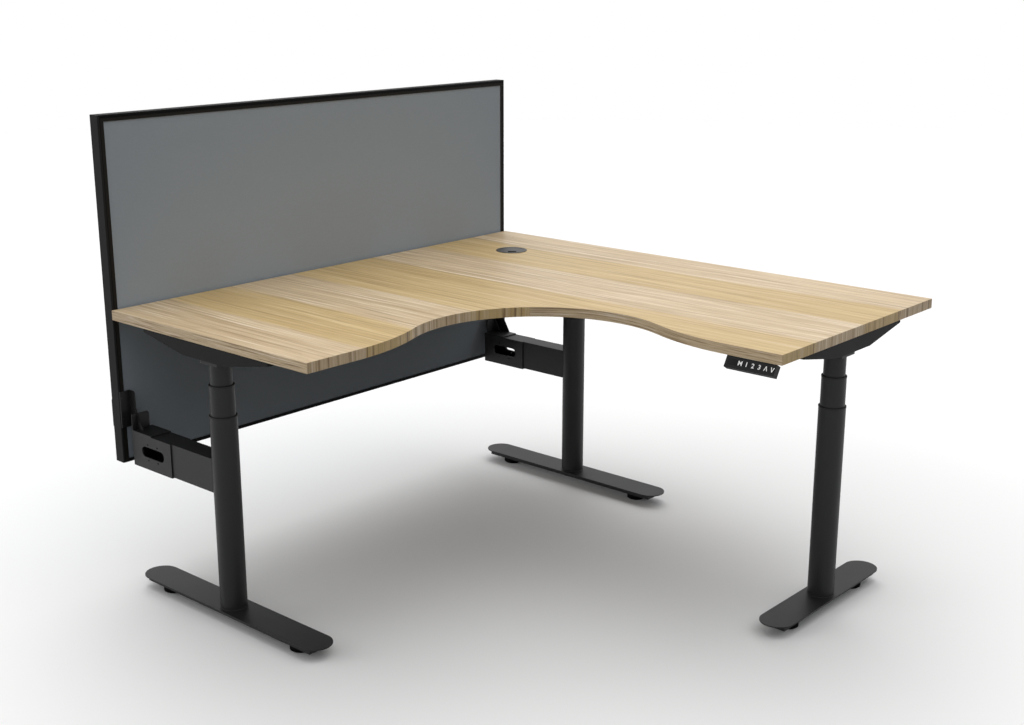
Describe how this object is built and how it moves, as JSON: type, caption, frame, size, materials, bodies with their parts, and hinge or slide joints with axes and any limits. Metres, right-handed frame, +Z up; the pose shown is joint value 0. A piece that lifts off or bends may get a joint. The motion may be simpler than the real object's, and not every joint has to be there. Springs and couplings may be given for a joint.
{
  "type": "cubicle workstation",
  "caption": "Corner sit-stand desk with a curved bay between its wings, telescopic round columns on long feet, and a fixed fabric screen held by box arms behind one wing.",
  "frame": {"origin": "on the floor, under the middle of the whole desk's length and depth", "axes": "+X along the right wing, away from the screen; +Y towards the rear edge of the right wing; +Z up"},
  "size_m": [1.542, 1.5, 1.239],
  "materials": {
    "oak_laminate": "satin",
    "oak_edge": "satin",
    "black_steel": "satin",
    "drive_housing": "satin",
    "frame_aluminium": "satin",
    "plain_steel": "brushed",
    "black_plastic": "matte",
    "key_plastic": "satin",
    "core_board": "matte",
    "screen_fabric": "matte"
  },
  "bodies": {
    "stand": {"left_foot": "black_steel", "corner_foot": "black_steel", "right_foot": "black_steel", "left_outer_tube": "black_steel", "corner_outer_tube": "black_steel", "right_outer_tube": "black_steel", "outer_glides": "black_plastic", "nut_posts": "plain_steel", "left_arm": "black_steel", "corner_arm": "black_steel", "left_bracket": "black_steel", "corner_bracket": "black_steel", "clamp_plates": "black_steel", "screen_left_post": "frame_aluminium", "screen_right_post": "frame_aluminium", "screen_top_rail": "frame_aluminium", "screen_bottom_rail": "frame_aluminium", "screen_board": "core_board", "screen_fabric": "screen_fabric"},
    "desk": {"worktop": "oak_laminate", "edge_band": "oak_edge", "port_liner": "black_plastic", "main_rail": "black_steel", "cross_rail": "black_steel", "left_support": "black_steel", "corner_support": "black_steel", "right_support": "black_steel", "left_drive": "drive_housing", "corner_drive": "drive_housing", "right_drive": "drive_housing", "left_inner_tube": "black_steel", "corner_inner_tube": "black_steel", "right_inner_tube": "black_steel", "lift_screws": "plain_steel", "control_box": "black_plastic", "handset_case": "black_plastic"},
    "left_middle_stage": {"left_middle_tube": "black_steel", "left_middle_glide": "black_plastic", "left_hollow_screw": "plain_steel"},
    "corner_middle_stage": {"corner_middle_tube": "black_steel", "corner_middle_glide": "black_plastic", "corner_hollow_screw": "plain_steel"},
    "right_middle_stage": {"right_middle_tube": "black_steel", "right_middle_glide": "black_plastic", "right_hollow_screw": "plain_steel"},
    "left_rear_pad": {"left_rear_pad": "black_plastic"},
    "left_front_pad": {"left_front_pad": "black_plastic"},
    "corner_rear_pad": {"corner_rear_pad": "black_plastic"},
    "corner_front_pad": {"corner_front_pad": "black_plastic"},
    "right_rear_pad": {"right_rear_pad": "black_plastic"},
    "right_front_pad": {"right_front_pad": "black_plastic"},
    "key_memory": {"key_memory": "key_plastic"},
    "key_one": {"key_one": "key_plastic"},
    "key_two": {"key_two": "key_plastic"},
    "key_three": {"key_three": "key_plastic"},
    "key_up": {"key_up": "key_plastic"},
    "key_down": {"key_down": "key_plastic"},
    "port_cap": {"port_cap": "black_plastic"}
  },
  "joints": [
    {"name": "desk_lift", "type": "slide", "parent": "stand", "child": "desk", "axis": [0, 0, 1], "range_m": [-0.09, 0.55]},
    {"name": "left_middle_slide", "type": "slide", "parent": "stand", "child": "left_middle_stage", "axis": [0, 0, 1], "range_m": [-0.045, 0.275]},
    {"name": "corner_middle_slide", "type": "slide", "parent": "stand", "child": "corner_middle_stage", "axis": [0, 0, 1], "range_m": [-0.045, 0.275]},
    {"name": "right_middle_slide", "type": "slide", "parent": "stand", "child": "right_middle_stage", "axis": [0, 0, 1], "range_m": [-0.045, 0.275]},
    {"name": "left_rear_pad_screw", "type": "slide", "parent": "stand", "child": "left_rear_pad", "axis": [0, 0, -1], "range_m": [0, 0.008]},
    {"name": "left_front_pad_screw", "type": "slide", "parent": "stand", "child": "left_front_pad", "axis": [0, 0, -1], "range_m": [0, 0.008]},
    {"name": "corner_rear_pad_screw", "type": "slide", "parent": "stand", "child": "corner_rear_pad", "axis": [0, 0, -1], "range_m": [0, 0.008]},
    {"name": "corner_front_pad_screw", "type": "slide", "parent": "stand", "child": "corner_front_pad", "axis": [0, 0, -1], "range_m": [0, 0.008]},
    {"name": "right_rear_pad_screw", "type": "slide", "parent": "stand", "child": "right_rear_pad", "axis": [0, 0, -1], "range_m": [0, 0.008]},
    {"name": "right_front_pad_screw", "type": "slide", "parent": "stand", "child": "right_front_pad", "axis": [0, 0, -1], "range_m": [0, 0.008]},
    {"name": "key_memory_press", "type": "slide", "parent": "desk", "child": "key_memory", "axis": [0, 0.8575, -0.5145], "range_m": [0, 0.0004], "stiffness_N_per_m": 1500},
    {"name": "key_one_press", "type": "slide", "parent": "desk", "child": "key_one", "axis": [0, 0.8575, -0.5145], "range_m": [0, 0.0004], "stiffness_N_per_m": 1500},
    {"name": "key_two_press", "type": "slide", "parent": "desk", "child": "key_two", "axis": [0, 0.8575, -0.5145], "range_m": [0, 0.0004], "stiffness_N_per_m": 1500},
    {"name": "key_three_press", "type": "slide", "parent": "desk", "child": "key_three", "axis": [0, 0.8575, -0.5145], "range_m": [0, 0.0004], "stiffness_N_per_m": 1500},
    {"name": "key_up_press", "type": "slide", "parent": "desk", "child": "key_up", "axis": [0, 0.8575, -0.5145], "range_m": [0, 0.0004], "stiffness_N_per_m": 1500},
    {"name": "key_down_press", "type": "slide", "parent": "desk", "child": "key_down", "axis": [0, 0.8575, -0.5145], "range_m": [0, 0.0004], "stiffness_N_per_m": 1500},
    {"name": "port_cap_turn", "type": "hinge", "parent": "desk", "child": "port_cap", "pos_m": [-0.493, 0.514, 0.748], "axis": [0, 0, 1], "continuous": true}
  ],
  "couplings": [
    {"joint": "left_middle_slide", "follows": "desk_lift", "ratio": 0.5},
    {"joint": "corner_middle_slide", "follows": "desk_lift", "ratio": 0.5},
    {"joint": "right_middle_slide", "follows": "desk_lift", "ratio": 0.5}
  ]
}
